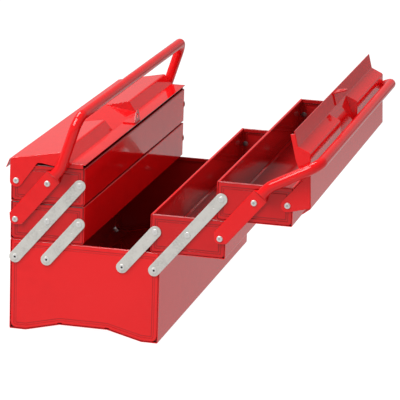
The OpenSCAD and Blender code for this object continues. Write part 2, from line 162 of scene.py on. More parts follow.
# Half the valley's length at the flange, at the crest and at its outer end
VALLEY_FOOT = 58.5
VALLEY_CREST = 61.0
VALLEY_END = 55.0
VALLEY_W = 42.5
VALLEY_SOFT = 0.25  # rounding of its folds
VALLEY_EASE = 3.0  # width over which that rounding sets in
VALLEY_MARGIN = 4.0  # past its outer end, to where its surface is still tried
FACET_MARGIN = 5.0  # past the end facets, to where the roof's rows stay fine
FACET_STEP = 0.45
FACET_SLOPE = 0.2
ROOF_GAP = 1.0
EAR_GAP = 0.4
EAR_R = 8.5
EAR_SLANT = 35.0
EAR_SHARE = 0.97  # of the ear, so that its two corners do not meet
SKIRT_LAP = 0.6
SKIRT_ARCH = 3.2
SKIRT_RUN = 26.0
SKIRT_RISE_W = 20.0
SKIRT_OPEN = 3.0
PLATE_UNDER = 0.85  # from the roof's outer face down to the end plate
PLATE_BEVEL = 0.2

# Hasps
HASP_T = 1.6
HASP_W = 26.0
HASP_FOOT = 17.0
HASP_IN = 1.6
HASP_SLANT = 35.0
HASP_LOW = 0.05
HASP_BEND_R = 0.5
HASP_HOLE_Z = 9.6
HASP_HOLE_R = 3.3
HASP_RIM = 4.6
HASP_EDGE = 0.1
ROUNDING = 1e-4  # more than the rounding of a ray's direction
FAR = 1000.0

# How dark each place of painted shade is, from 0 to 1, and how wide it is
BEAD_DARK = 0.45
FLANGE_DARK = 0.6
CORNER_DARK_W = 0.6
OPEN_RIM_DARK = 0.45
RIM_DARK_W = 1.4
SEAM_DARK = 0.6
SEAM_DARK_H = {"lower": 0.3, "upper": 1.8}
FACET_DARK = 0.3
HASP_DARK = 0.4
HOLLOW_SPREAD = 2.5  # steepness of the dark at a hollow's rim
# A rivet head's hollow: its radius, its depth and how dark its painted shade is
DISH = (2.3, 0.3, 0.4)
PIP = (1.9, 0.7, 1.0)
FAINT = (1.5, 0.1, 0.12)


# Small tools for outlines in the plane

def unit(v):
    """v over its own length, row by row."""
    return v / np.linalg.norm(v, axis=-1, keepdims=True)


def left_of(v):
    """v turned a quarter turn to the left."""
    return np.stack([-v[..., 1], v[..., 0]], axis=-1)


def rounded(points, radii, steps=5, closed=False, guard=0.25):
    """Points and left-hand normals of a path with rounded corners.

    At a corner of radius r between directions a and b, the arc is tangent to both legs: it
    starts r tan(turn / 2) before the corner, and its steps + 1 points turn by equal angles.
    A guard point stands on each leg just beside the arc, so that flats are shaded flat, and
    arcs too big for their legs shrink. A corner of radius zero is one point whose normal is
    stretched to keep offsets parallel.
    """
    points = np.asarray(points, float)
    radii = np.array(np.broadcast_to(radii, len(points)), float)
    leg = np.linalg.norm(np.roll(points, -1, axis=0) - points, axis=1)
    before = unit(points - np.roll(points, 1, axis=0))
    after = np.roll(before, -1, axis=0)
    turn = np.arctan2(
        before[:, 0] * after[:, 1] - before[:, 1] * after[:, 0], np.sum(before * after, axis=1)
    )
    if not closed:
        turn[[0, -1]] = 0.0
    slack = np.abs(np.tan(turn / 2))
    reach = np.where((radii > 0) & (slack > TINY), radii * slack + guard, 0)
    both = np.maximum(reach + np.roll(reach, -1), TINY)
    fit = np.minimum(MOST * leg / both, 1)
    reach = reach * np.minimum(fit, np.roll(fit, 1))
    guards = np.minimum(guard, reach / 2)
    made, normals = [], []
    for i, (p, a, b, q, far, g) in enumerate(zip(points, before, after, turn, reach, guards)):
        if not closed and i in (0, len(points) - 1):
            made.append(p[None])
            normals.append(left_of(b if i == 0 else a)[None])
            continue
        if far == 0:
            mitre = left_of(a + b)
            made.append(p[None])
            normals.append((mitre * 2 / (mitre @ mitre))[None])
            continue
        r = (far - g) / math.tan(q / 2)  # below zero where the path turns right
        start = p - a * (far - g)
        swept = np.linspace(0, q, steps + 1)[:, None]
        normal = left_of(a) * np.cos(swept) - a * np.sin(swept)
        arc = start + left_of(a) * r - normal * r
        made += [(start - a * g)[None], arc, (arc[-1] + b * g)[None]]
        normals += [normal[:1], normal, normal[-1:]]
    return np.vstack(made), np.vstack(normals)


def inset(points, distance):
    """A closed polygon moved inwards by the same distance along every edge (anticlockwise)."""
    points = np.asarray(points, float)
    before = unit(points - np.roll(points, 1, axis=0))
    mitre = left_of(before + np.roll(before, -1, axis=0))
    return points + distance * mitre * 2 / np.sum(mitre * mitre, axis=1, keepdims=True)


# Small tools for closed surfaces; a shell is its points, its faces and its points' marks

def points_at(x, y, z):
    """Points from their coordinates, of which some may be the same for all."""
    return np.stack(np.broadcast_arrays(x, y, z), axis=-1)


def grid_faces(rows, cols, close_rows=False, close_cols=True):
    """Four-sided faces between neighbouring points of a grid that is stored row by row."""
    r = np.arange(rows if close_rows else rows - 1)[:, None]
    c = np.arange(cols if close_cols else cols - 1)[None, :]
    r_next, c_next = (r + 1) % rows, (c + 1) % cols
    corners = np.broadcast_arrays(
        r * cols + c, r * cols + c_next, r_next * cols + c_next, r_next * cols + c
    )
    return np.stack(corners, axis=-1).reshape(-1, 4)


def marks_of(shape, inner, painted_shade):
    """Two marks for each point, both for painted shade: on the inside of the box, and at beads,
    rims, seams, corners, facets, hasp edges and rivet hollows.
    """
    marks = [np.broadcast_to(m, shape).reshape(-1).astype(float) for m in (inner, painted_shade)]
    return np.stack(marks, axis=1)


def loft(rings, inner=0.0, painted_shade=0.0):
    """The surface through equal rings of points, closed by a flat face on both end rings."""
    rings = np.asarray(rings, float)
    rows, cols = rings.shape[:2]
    caps = [np.arange(cols)[::-1], np.arange(cols) + (rows - 1) * cols]
    marks = marks_of((rows, cols), inner, painted_shade)
    return rings.reshape(-1, 3), [*grid_faces(rows, cols), *caps], marks


def volume_of(points, faces):
    """Six times the volume inside the faces: the sum over all fan triangles of a . (b x c)."""
    total = 0.0
    by_size = {}
    for face in faces:
        by_size.setdefault(len(face), []).append(face)
    for size, group in by_size.items():
        corner = points[np.array(group)]
        for k in range(1, size - 1):
            total += np.sum(corner[:, 0] * np.cross(corner[:, k], corner[:, k + 1]))
    return total


def make_piece(title, shells, place, material, body, node):
    """One object from closed shells, its faces outward, riding on a body in a node's stead."""
    points, faces, marks, start = [], [], [], 0
    for shell_points, shell_faces, shell_marks in shells:
        marks.append(shell_marks)
        placed = place(shell_points)
        flip = volume_of(placed, shell_faces) < 0
        faces += [np.asarray(f)[::-1 if flip else 1] + start for f in shell_faces]
        points.append(placed)
        start += len(placed)
    mesh = bpy.data.meshes.new(title)
    mesh.from_pydata((np.vstack(points) * MM).tolist(), [], [f.tolist() for f in faces])
    mesh.shade_smooth()
    mesh.set_sharp_from_angle(angle=math.radians(SMOOTH_ANGLE))
    mesh.materials.append(material)
    for name, mark in zip(("inside", "painted_shade"), np.concatenate(marks).T):
        layer = mesh.attributes.new(name, "FLOAT", "POINT")
        layer.data.foreach_set("value", mark.astype(np.float32))
    piece = bpy.data.objects.new(title, mesh)
    bpy.context.scene.collection.objects.link(piece)
    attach(piece, body)
    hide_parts(node)


def standing(x, z, side, turn=0.0):
    """Places points given as distance outwards, along and up from a pivot, leaned by turn.

    Leaning turns up towards outwards: (u, z) goes to (u cos + z sin, z cos - u sin).
    """
    c, s = math.cos(turn), math.sin(turn)

    def place(p):
        u, y, up = p.T
        return points_at(x + side * (u * c + up * s), y, z + up * c - u * s)

    return place


# Where each bank stands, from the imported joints

JOINTS = {j["name"]: np.array(j["pos_m"]) / MM for j in frame["joints"]}


def pivot(side, joint):
    """Place of a bank's joint across the box and in height."""
    return JOINTS[f"{SIDE_NAMES[side]}_{joint}"][[0, 2]]


def arm(side):
    """Length of one stage of the linkage, and its lean outwards in radians."""
    d = pivot(side, "lower_tray_level") - pivot(side, "swing")
    return math.hypot(*d), math.atan2(side * d[0], d[1])


def tray_shift(side, tray):
    """How far a tray has moved outwards from its closed place."""
    low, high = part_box(f"{SIDE_NAMES[side]}_{tray}_tray_body")
    inner = high[0] / MM if side == LEFT else low[0] / MM
    return side * (inner - CENTRE_X) - TRAY_IN


ARM_L = arm(LEFT)[0]
LID_PIVOT_U = abs(pivot(LEFT, "lid_turn")[0] - CENTRE_X)
LID_PIVOT_Z = pivot(LEFT, "lid_turn")[1]
RIM_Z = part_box("left_upper_tray_body")[1][2] / MM
# How far each lid stands open at rest: as far as its joint can still close it
LID_OPEN = {
    side: math.radians(-next(
        j["range_deg"][0] for j in frame["joints"] if j["name"] == f"{name}_lid_turn"
    )) for side, name in SIDE_NAMES.items()
}


# Sheet metal

def trough(path, thickness, dark_h):
    """A trough of sheet along Y, with a hem folded inwards along each rim.

    The path runs along the middle of the sheet from rim to rim, and the sheet is that line
    moved by half its thickness each way. The hems' inner leaves end just inside the panels.
    A rim under another tray or a lid is painted dark as shade, down to the given height below
    it. The inner faces and the hems' inner leaves take the painted inside shade.
    """
    over = HEM_T - thickness
    first, last = path[0], path[-1]
    low, top = np.array([0, -HEM_H]), np.array([0, -thickness / 2])
    under_rim = np.array([0, -dark_h - HEM_TURN])
    line = np.array([
        first + [over, 0] + low, first + [over, 0] + top, first + top, first + under_rim,
        *path[1:-1], last + under_rim, last + top, last + [-over, 0] + top,
        last + [-over, 0] + low,
    ])
    radii = np.full(len(line), FOLD_R)
    radii[[1, 2, -3, -2]] = thickness / 2 + HEM_SOFT
    line, normal = rounded(line, radii, guard=GUARD)
    half = normal * thickness / 2
    u, z = np.vstack([line + half, (line - half)[::-1]]).T
    within = np.abs(u - (first[0] + last[0]) / 2) < (last[0] - first[0]) / 2 - over / 2
    leaf = within & (z > first[1] - HEM_H - SLIM)
    inner = np.repeat([1.0, 0.0], len(line))
    inner[leaf & (z < first[1] - HEM_TURN)] = 1.0
    back = np.where(leaf, LEAF_BACK, 0)
    rings = [points_at(u, end * (HALF_L - back), z) for end in (FRONT, REAR)]
    seam_shade = (dark_h > 0) * SEAM_DARK * (z > first[1] - dark_h)
    return loft(rings, inner, seam_shade)


def base_outline(edge):
    """The base's section from rim to rim, a distance inside its outer face."""
    half = np.array([
        [HALF_W - FOOT_W - RAMP_W, ARCH_H + edge], [HALF_W - FOOT_W, edge],
        [HALF_W - edge, edge], [HALF_W - edge, BASE_H],
    ])
    return np.vstack([half[::-1] * [-1, 1], half])


def tray_outline(edge):
    """A tray's section from rim to rim, with its bevel on the centre side."""
    bevel = max(TRAY_BEVEL - edge * (2 - math.sqrt(2)), NUDGE)
    u = TRAY_IN + edge
    return np.array([
        [u, TRAY_H], [u, edge + bevel], [u + bevel, edge], [HALF_W - edge, edge],
        [HALF_W - edge, TRAY_H],
    ])


def notched(shape, radii, notches, step):
    """The corners and radii of an outline that steps upwards beside some of its corners."""
    corners, rounds = [], []
    up = np.array([0, step])
    for i, (point, r) in enumerate(zip(shape, radii)):
        if i not in notches:
            corners.append(point)
            rounds.append(r)
            continue
        before, after = unit(shape[i - 1] - point), unit(shape[i + 1] - point)
        corners += [
            point + before * NOTCH_W, point + before * (NOTCH_W - BESIDE) + up,
            point + after * (NOTCH_W - BESIDE) + up, point + after * NOTCH_W,
        ]
        rounds += [0.0] * 4
    return corners, rounds


def end_panel(outline, thickness, corner_r, folds, notches, rim_dark, end):
    """A pressed end panel: rings of the section's outline, each inset and set back in Y.

    From the middle outwards a ring is flat, drops into the framing bead and climbs out of it
    by half cosine waves, turns round the bend, runs back along the flange, and comes back
    inside at one sheet's distance. Along the rim the flange is only as deep as the hem. At
    each notch the outer rings step inwards over a short stretch, where the bend is relieved.
    Painted shade darkens the bend along the rim and round the corners, the bead's sides, and
    the flange where it meets the trough; the inner rings take the painted inside shade.
    """
    edge = thickness + SEAM
    bead_at = BEAD_IN - edge
    bead_end = bead_at + BEAD_W
    bead_middle = bead_at + BEAD_W / 2
    wave = np.linspace(0, 1, 5)
    ramp = BEAD_D * (1 - np.cos(math.pi * wave)) / 2
    bend = np.linspace(0, math.pi / 2, 5)
    tight = PAN_BEND - thickness
    # Each ring is given by its inset, its depth and how dark its painted shade is
    flat = [(bead_end + PANEL_FLAT, 0, 0), (bead_end + BESIDE, 0, 0)]
    flat += [(bead_end - BEAD_SIDE * b, d, BEAD_DARK) for b, d in zip(wave, ramp)]
    flat += [(bead_middle + GUARD, BEAD_D, 0), (bead_middle - GUARD, BEAD_D, 0)]
    flat += [(bead_at + BEAD_SIDE * b, d, BEAD_DARK) for b, d in zip(wave[::-1], ramp[::-1])]
    flat += [(bead_at - BESIDE, 0, 0), (PAN_BEND + GUARD, 0, 0)]
    outer = [(PAN_BEND * (1 - math.sin(a)), PAN_BEND * (1 - math.cos(a)), 0) for a in bend]
    outer += [(0, PAN_BEND + GUARD, FLANGE_DARK), (0, FLANGE_D, 0)]
    inner = [(thickness, FLANGE_D, 0), (thickness, PAN_BEND + GUARD, 0)]
    inner += [
        (thickness + tight * (1 - math.sin(a)), thickness + tight * (1 - math.cos(a)), 0)
        for a in bend[::-1]
    ]
    inner += [(w, depth + thickness, dark) for w, depth, dark in flat[::-1]]
    rings, darkness = [], []
    span = outline(0)[[0, -1], 0]
    middle_u, half_w = span.mean(), abs(span[1] - span[0]) / 2
    rim_top = outline(0)[0, 1]
    for w, depth, dark in flat + outer + inner:
        shape = outline(edge + w)
        shape[[0, -1], 1] -= RIM_DROP + w + edge * min(w / RIM_EASE, 1)
        radii = np.full(len(shape), PANEL_FOLD_R)
        radii[folds] = max(corner_r - w, LEAST_CORNER)
        radii[[0, -1]] = 0.0
        line, _ = rounded(*notched(shape, radii, notches, max(NOTCH_D - w, 0)), closed=True)
        hem_share = max(depth - PAN_BEND, 0) / (FLANGE_D - PAN_BEND)
        rim_back = min(depth, PAN_BEND) + hem_share * RIM_RUN
        back = np.append(np.full(len(line), float(depth)), [rim_back, rim_back])
        u, z = np.vstack([line, line[-1] - [BESIDE, 0], line[0] + [BESIDE, 0]]).T
        rings.append(points_at(u, end * (HALF_L - back), z))
        from_corner = np.hypot(np.abs(np.abs(u - middle_u) - half_w), z)
        at_corner = (w < CORNER_DARK_W) * (from_corner < corner_r)
        at_rim = rim_dark * (w < RIM_DARK_W) * (z > rim_top - RIM_DARK_W)
        darkness.append(np.maximum(np.maximum(dark, at_rim), at_corner))
    is_inner = np.arange(len(rings)) >= len(flat) + len(outer)
    return loft(rings, is_inner[:, None], darkness)


def hem_bar(u0, u1, top, thickness, end):
    """The inner leaf of an end panel's hem: a bar with its upper inside edge rounded over."""
    outer, high = HEM_T - thickness, top - RIM_DROP - NUDGE
    corners = [[outer, top - HEM_H], [HEM_T, top - HEM_H], [HEM_T, high], [outer, high]]
    line, _ = rounded(corners, [SLIM, SLIM, HEM_TOP_R, SLIM], closed=True, guard=SLIM)
    back, z = line.T
    ends = u0 + HEM_T - GUARD, u1 - HEM_T + GUARD
    # The whole leaf takes the painted inside shade
    return loft([points_at(u, end * (HALF_L - back), z) for u in ends], 1.0)


# Turned, flat and swept pieces

def lathe(profile, inner, painted_shade):
    """A closed turned shape about Y: each (radius, height) of the profile goes once round."""
    r, h = np.asarray(profile, float).T[:, :, None]
    a = np.linspace(0, TURN, ROUND_STEPS, endpoint=False)
    return loft(points_at(r * np.cos(a), h, r * np.sin(a)), inner, painted_shade)


def rivet(u, z, end, sheet, gap, held, head_h, hollow):
    """A shoulder rivet through an end panel: a pressed head, its shank, and the tail inside.

    The head is flat and falls to its rim by a quarter ellipse, which stops just short of
    upright. Its middle sinks by half a cosine wave: a wide shallow dish, or the narrow deep
    pip of a closed rivet; the hollow is painted darker as shade. The tail is a quarter ellipse
    turned round the axis.
    """
    hollow_r, hollow_d, hollow_dark = hollow
    flat_r = HEAD_D / 2 - HEAD_EDGE
    fall = np.sin(np.linspace(0, math.pi / 2, 10)) * HEAD_SHARE
    r = np.unique(np.concatenate([
        np.linspace(NUDGE, hollow_r, 10), np.linspace(hollow_r, flat_r, 4),
        flat_r + HEAD_EDGE * fall,
    ]))
    over = np.maximum(r - flat_r, 0) / HEAD_EDGE
    crown = HEAD_RIM + (head_h - HEAD_RIM) * np.sqrt(1 - over ** 2)
    sunk = np.where(r < hollow_r, (1 + np.cos(np.pi * r / hollow_r)) / 2, 0)
    out = gap + held + RUN_GAP
    head = [(a, out + b) for a, b in zip(r, crown - sunk * hollow_d)]
    head += [(HEAD_D / 2, out + HEAD_SIDE), (HEAD_D / 2, out), (RIVET_D / 2, out - NUDGE / 2)]
    shoulder = [(RIVET_D / 2, gap - SLIM), (HEAD_D / 2, gap - SLIM), (HEAD_D / 2, -sheet)]
    tail = [
        ((HEAD_D / 2 - GUARD) * math.cos(a) + NUDGE,
         -sheet - HEAD_RIM - (TAIL_H - HEAD_RIM) * math.sin(a))
        for a in np.linspace(0, math.pi / 2, 9)
    ]
    profile = head + shoulder + tail
    dark = np.zeros(len(profile))
    dark[:len(r)] = np.minimum(sunk * HOLLOW_SPREAD, 1) * hollow_dark
    # The tail inside the panel takes the painted inside shade
    inner = np.arange(len(profile)) >= len(head) + 2
    points, faces, marks = lathe(profile, inner[:, None], dark[:, None])
    return points * [1, end, 1] + [u, end * HALF_L, z], faces, marks


def link_bar(stages, end):
    """A flat bar with full-round ends, standing on its lowest pivot.

    Half its width at height z is the round end's sqrt(r^2 - d^2), with d the distance past
    the end pivot. Its edges are quarter circles, and its outer face sinks into a stamped
    dimple below each upper pivot by a cosine bell.
    """
    r = LINK_W / 2
    length = stages * ARM_L
    stamps = [(i + 1) * ARM_L - STAMP_DOWN for i in range(stages)]
    ends = r * np.cos(np.linspace(LINK_TIP_ANGLE, math.pi / 2, 16))
    body = np.arange(0, length, LINK_STEP)[1:]
    near = np.concatenate([z + np.linspace(-STAMP_R, STAMP_R, 15) for z in stamps])
    z = np.unique(np.concatenate([-ends, body, near, length + ends]))
    past = np.maximum(np.maximum(-z, z - length), 0)
    half_w = np.sqrt(r ** 2 - past ** 2)[:, None]
    side_in = np.minimum(LINK_EDGE, half_w / 2)
    across = np.linspace(-MOST, MOST, 41)
    turn = np.linspace(math.pi / 2, -math.pi / 2, 8)
    flat = (half_w - side_in) * across
    right = half_w - side_in + side_in * np.cos(turn)
    depth = np.where(
        turn > 0, LINK_EDGE * (1 - np.sin(turn)), LINK_T - LINK_EDGE * (1 + np.sin(turn))
    )
    x = np.hstack([flat, right, flat[:, ::-1], -right[:, ::-1]])
    back = np.full(len(across), LINK_T)
    y = np.tile(np.concatenate([np.zeros(len(across)), depth, back, depth[::-1]]), (len(z), 1))
    face = slice(0, len(across))
    for stamp in stamps:
        d = np.hypot(x[:, face], z[:, None] - stamp) / STAMP_R
        y[:, face] += np.where(d < 1, STAMP_D * (1 + np.cos(np.pi * d)) / 2, 0)
    outer = HALF_L + SEAT_GAP + LINK_T
    return loft(points_at(x, end * (outer - y), z[:, None]))


def handle_tube():
    """The whole handle: a super-ellipse carried along its path, flat at the ends, then round.

    A point of the section at angle a is (w/2 |cos a|^(2/n), t/2 |sin a|^(2/n)) with the signs
    of the cosine and the sine; n falls from a high power on the flat to 2 on the tube. The
    path rises straight, turns at the knee in its own plane, and turns into the grip at the
    corner. The flat end narrows along two lines at 45 degrees, which touch a small circle
    round the pivot. The rear half is the front half mirrored.
    """
    flat_y = -(HALF_L + SEAT_GAP + STRAP_T / 2)
    tube_y = -(HALF_L + SEAT_GAP + LID_T + TUBE_CLEAR + TUBE_D / 2)
    r_end = STRAP_W / 2
    knee = math.radians(KNEE_ANGLE)
    along = np.array([0.0, 1.0, 0.0])
    side = np.array([1.0, 0.0, 0.0])
    leg = np.array([math.sin(knee), 0.0, math.cos(knee)])
    leg_side = np.array([math.cos(knee), 0.0, -math.sin(knee)])
    swage_z = ARM_L + STRAP_RUN
    knee_z = ARM_L + KNEE_OUT
    bend_z = knee_z - KNEE_R * math.tan(knee / 2)

    slack = math.sqrt(2) * STRAP_TIP
    end_z = -STRAP_TIP * np.cos(np.linspace(STRAP_TIP_ANGLE, math.pi / 4, 10))
    shoulder = r_end - slack
    taper_z = np.linspace(end_z[-1], shoulder, 7)[1:]
    strap_z = np.concatenate([end_z, taper_z, np.linspace(shoulder, swage_z, 12)[1:]])
    swage = np.linspace(0, 1, 12)[1:]
    ease = swage ** 2 * (3 - 2 * swage)
    knee_a = np.linspace(0, knee, 12)
    corner_a = np.linspace(0, math.pi / 2, 18)[:, None]

    strap_c = points_at(0, flat_y, strap_z)
    swage_c = points_at(0, flat_y + ease * (tube_y - flat_y), swage_z + swage * SWAGE_L)
    knee_c = points_at(KNEE_R * (1 - np.cos(knee_a)), tube_y, bend_z + KNEE_R * np.sin(knee_a))
    centre = np.array([0, tube_y + CORNER_R, knee_z]) + (LEG_L - CORNER_R) * leg
    corner_c = centre - CORNER_R * np.cos(corner_a) * along + CORNER_R * np.sin(corner_a) * leg
    path = np.vstack([strap_c, swage_c, knee_c, corner_c])

    first = np.vstack([
        np.tile(side, (len(strap_c) + len(swage_c), 1)),
        points_at(np.cos(knee_a), 0, -np.sin(knee_a)), np.tile(leg_side, (len(corner_c), 1)),
    ])
    second = np.vstack([
        np.tile(along, (len(path) - len(corner_c), 1)),
        np.cos(corner_a) * along - np.sin(corner_a) * leg,
    ])
    rest = len(knee_c) + len(corner_c)
    roundness = np.concatenate([np.zeros(len(strap_c)), ease, np.ones(rest)])
    width = STRAP_W + roundness * (TUBE_D - STRAP_W)
    round_tip = np.sqrt(np.maximum(STRAP_TIP ** 2 - strap_z ** 2, 0))
    taper = np.where(strap_z < end_z[-1], round_tip, np.minimum(strap_z + slack, r_end))
    width[:len(strap_c)] = 2 * taper
    depth = STRAP_T + roundness * (TUBE_D - STRAP_T)
    power = 2 / (STRAP_POWER + roundness * (TUBE_POWER - STRAP_POWER))

    a = np.linspace(0, TURN, 48, endpoint=False)
    cos, sin = np.cos(a), np.sin(a)
    x = width[:, None] / 2 * np.sign(cos) * np.abs(cos) ** power[:, None]
    y = depth[:, None] / 2 * np.sign(sin) * np.abs(sin) ** power[:, None]
    half = path[:, None] + x[..., None] * first[:, None] + y[..., None] * second[:, None]
    return loft(np.concatenate([half, half[::-1] * [1, -1, 1]]))


# Lids

FOOT_U = LID_IN + FLANGE_W
CREST_U = FOOT_U + FACE_W
EAVE_U = HALF_W + EAVE
VALLEY_U = FOOT_U + VALLEY_W
FLAT_Z = RIM_Z + LID_RISE
CREST_Z = FLAT_Z + CREST_H
SLOPE = CREST_H / (EAVE_U - CREST_U)
LID_Y = HALF_L + EAR_GAP + LID_T


def soft_min(a, b, k):
    """The lower of a and b, rounded off by k/4 where they cross."""
    near = np.maximum(k - np.abs(a - b), 0) / np.maximum(k, TINY)
    return np.minimum(a, b) - near ** 2 * k / 4


def valley_height(u, y):
    """The valley's surface: its sloping floor, or the end facets, whichever is higher.

    The floor rises from the flange's edge to the valley's outer end. Each facet is the plane
    through the valley's three corners on that side, and rises along the box.
    """
    end_z = FLAT_Z + SLOPE * (EAVE_U - VALLEY_U)
    floor = FLAT_Z + (u - FOOT_U) / VALLEY_W * (end_z - FLAT_Z)
    corners = np.array([
        [VALLEY_U, VALLEY_END, 1], [CREST_U, VALLEY_CREST, 1], [FOOT_U, VALLEY_FOOT, 1],
    ])
    a, b, c = np.linalg.solve(corners, [end_z, CREST_Z, FLAT_Z])
    facet = a * u + b * np.abs(y) + c
    return -soft_min(-floor, -facet, VALLEY_SOFT)


def lid_roof():
    """The pressed roof: a section with rounded folds carried along Y, cut by the valley.

    Near both ends the section turns down over the end plates by a quarter circle, and the
    inner face lies one sheet's thickness along the normal.
    """
    section = [
        [LID_IN, FLAT_Z], [FOOT_U, FLAT_Z], [CREST_U, CREST_Z], [EAVE_U, FLAT_Z],
        [EAVE_U + LIP_OUT, FLAT_Z - LIP_H],
    ]
    line, normal = rounded(section, [0, FOOT_R, CREST_R, EAVE_R, 0], steps=8)
    # Straight stretches get extra points, so that the valley can shape them
    gap = np.linalg.norm(np.diff(line, axis=0), axis=1)
    counts = np.maximum(np.ceil(gap / LID_STEP).astype(int), 1)
    t = np.concatenate([i + np.arange(n) / n for i, n in enumerate(counts)] + [[len(line) - 1]])
    at = np.arange(len(line))
    line, normal = (
        np.stack([np.interp(t, at, column) for column in v.T], axis=1) for v in (line, normal)
    )

    turn = np.linspace(0, math.pi / 2, 5)
    fine_from, fine_to = VALLEY_END - FACET_MARGIN, VALLEY_CREST + FACET_MARGIN
    y_half = np.concatenate([
        np.linspace(0, fine_from - ROOF_GAP, 8), np.arange(fine_from, fine_to, FACET_STEP),
        np.linspace(fine_to + 3 * ROOF_GAP, LID_Y - END_R - ROOF_GAP, 20),
        LID_Y - END_R + END_R * np.sin(turn),
    ])
    drop_half = np.concatenate([np.zeros(len(y_half) - len(turn)), END_R * (1 - np.cos(turn))])
    y = np.concatenate([-y_half[:0:-1], y_half])
    drop = np.concatenate([drop_half[:0:-1], drop_half])

    u, z = (a[:, None] - b[:, None] * drop for a, b in zip(line.T, unit(normal).T))
    inside = (u > FOOT_U) & (u < VALLEY_U + VALLEY_MARGIN)
    k = VALLEY_SOFT * np.clip((u - FOOT_U) / VALLEY_EASE, 0, 1)
    z = np.where(inside, soft_min(z, valley_height(u, y), k), z)
    outer = points_at(u, y, z)
    across, along = np.gradient(outer, axis=(0, 1))
    inner = outer - unit(np.cross(across, along)) * LID_T

    rows, cols = outer.shape[:2]
    count = rows * cols
    faces = [*grid_faces(rows, cols, close_cols=False)]
    faces += [f[::-1] + count for f in faces]
    index = np.arange(count).reshape(rows, cols)
    rim = np.concatenate([index[0], index[1:, -1], index[-1, -2::-1], index[-2:0:-1, 0]])
    rim_next = np.roll(rim, -1)
    faces += [*np.stack([rim_next, rim, rim + count, rim_next + count], axis=1)]
    points = np.vstack([outer.reshape(-1, 3), inner.reshape(-1, 3)])
    # The valley's end facets, which alone rise along the box, are painted darker as shade
    rising = np.abs(along[..., 2]) > FACET_SLOPE * np.abs(along[..., 1])
    facet = FACET_DARK * (rising & (np.abs(y) < fine_to)).reshape(-1)
    dark = np.concatenate([facet, np.zeros(count)])
    # The inner face takes the painted inside shade
    return points, faces, marks_of(len(points), np.repeat([0.0, 1.0], count), dark)


def plate(outline, radii, y0, y1, bevel, steps=5, guard=0.25):
    """A plate in the plane of the box's section, with small bevels along both its faces."""
    rings = []
    for y, edge in ((y0, bevel), (y0 + bevel, 0), (y1 - bevel, 0), (y1, bevel)):
        line, _ = rounded(inset(outline, edge), radii, steps, closed=True, guard=guard)
        rings.append(np.insert(line, 1, y, axis=1))
    return loft(rings)


def lid_end_plate(end):
    """The end plate: under the roof's section, down to the skirt, and round the pivot's ear.

    The skirt rises in a shallow arch before the ear. The ear's circle is drawn by the two
    corners that its tangents meet at.
    """
    slant = math.radians(EAR_SLANT)
    ear = np.array([LID_PIVOT_U, LID_PIVOT_Z])
    tangent_u, tangent_z = ear - EAR_R * np.array([math.cos(slant), math.sin(slant)])
    outer_u, bottom = ear[0] + EAR_R, ear[1] - EAR_R
    ear_foot = tangent_u + (tangent_z - bottom) * math.tan(slant)
    inner_u, skirt_z = LID_IN + SKIRT_OPEN, RIM_Z - SKIRT_LAP
    arch_z = skirt_z + SKIRT_ARCH
    arch_u = tangent_u - (arch_z - tangent_z) * math.tan(slant)
    rise_u = arch_u - SKIRT_RUN
    under = FLAT_Z - PLATE_UNDER
    outline = [
        [inner_u, skirt_z], [rise_u, skirt_z], [rise_u + SKIRT_RISE_W, arch_z],
        [arch_u, arch_z], [ear_foot, bottom], [outer_u, bottom], [outer_u, ear[1]],
        [EAVE_U - PLATE_UNDER, under], [CREST_U, CREST_Z - PLATE_UNDER], [FOOT_U, under],
        [inner_u, under],
    ]
    ear_r = EAR_R * EAR_SHARE
    radii = [0.4, 12, 8, 3, ear_r, ear_r, 2, 1.5, 3, FOOT_R, 0.6]
    y0, y1 = sorted((end * (LID_Y - LID_T), end * (LID_Y - NUDGE)))
    return plate(outline, radii, y0, y1, PLATE_BEVEL, steps=10)


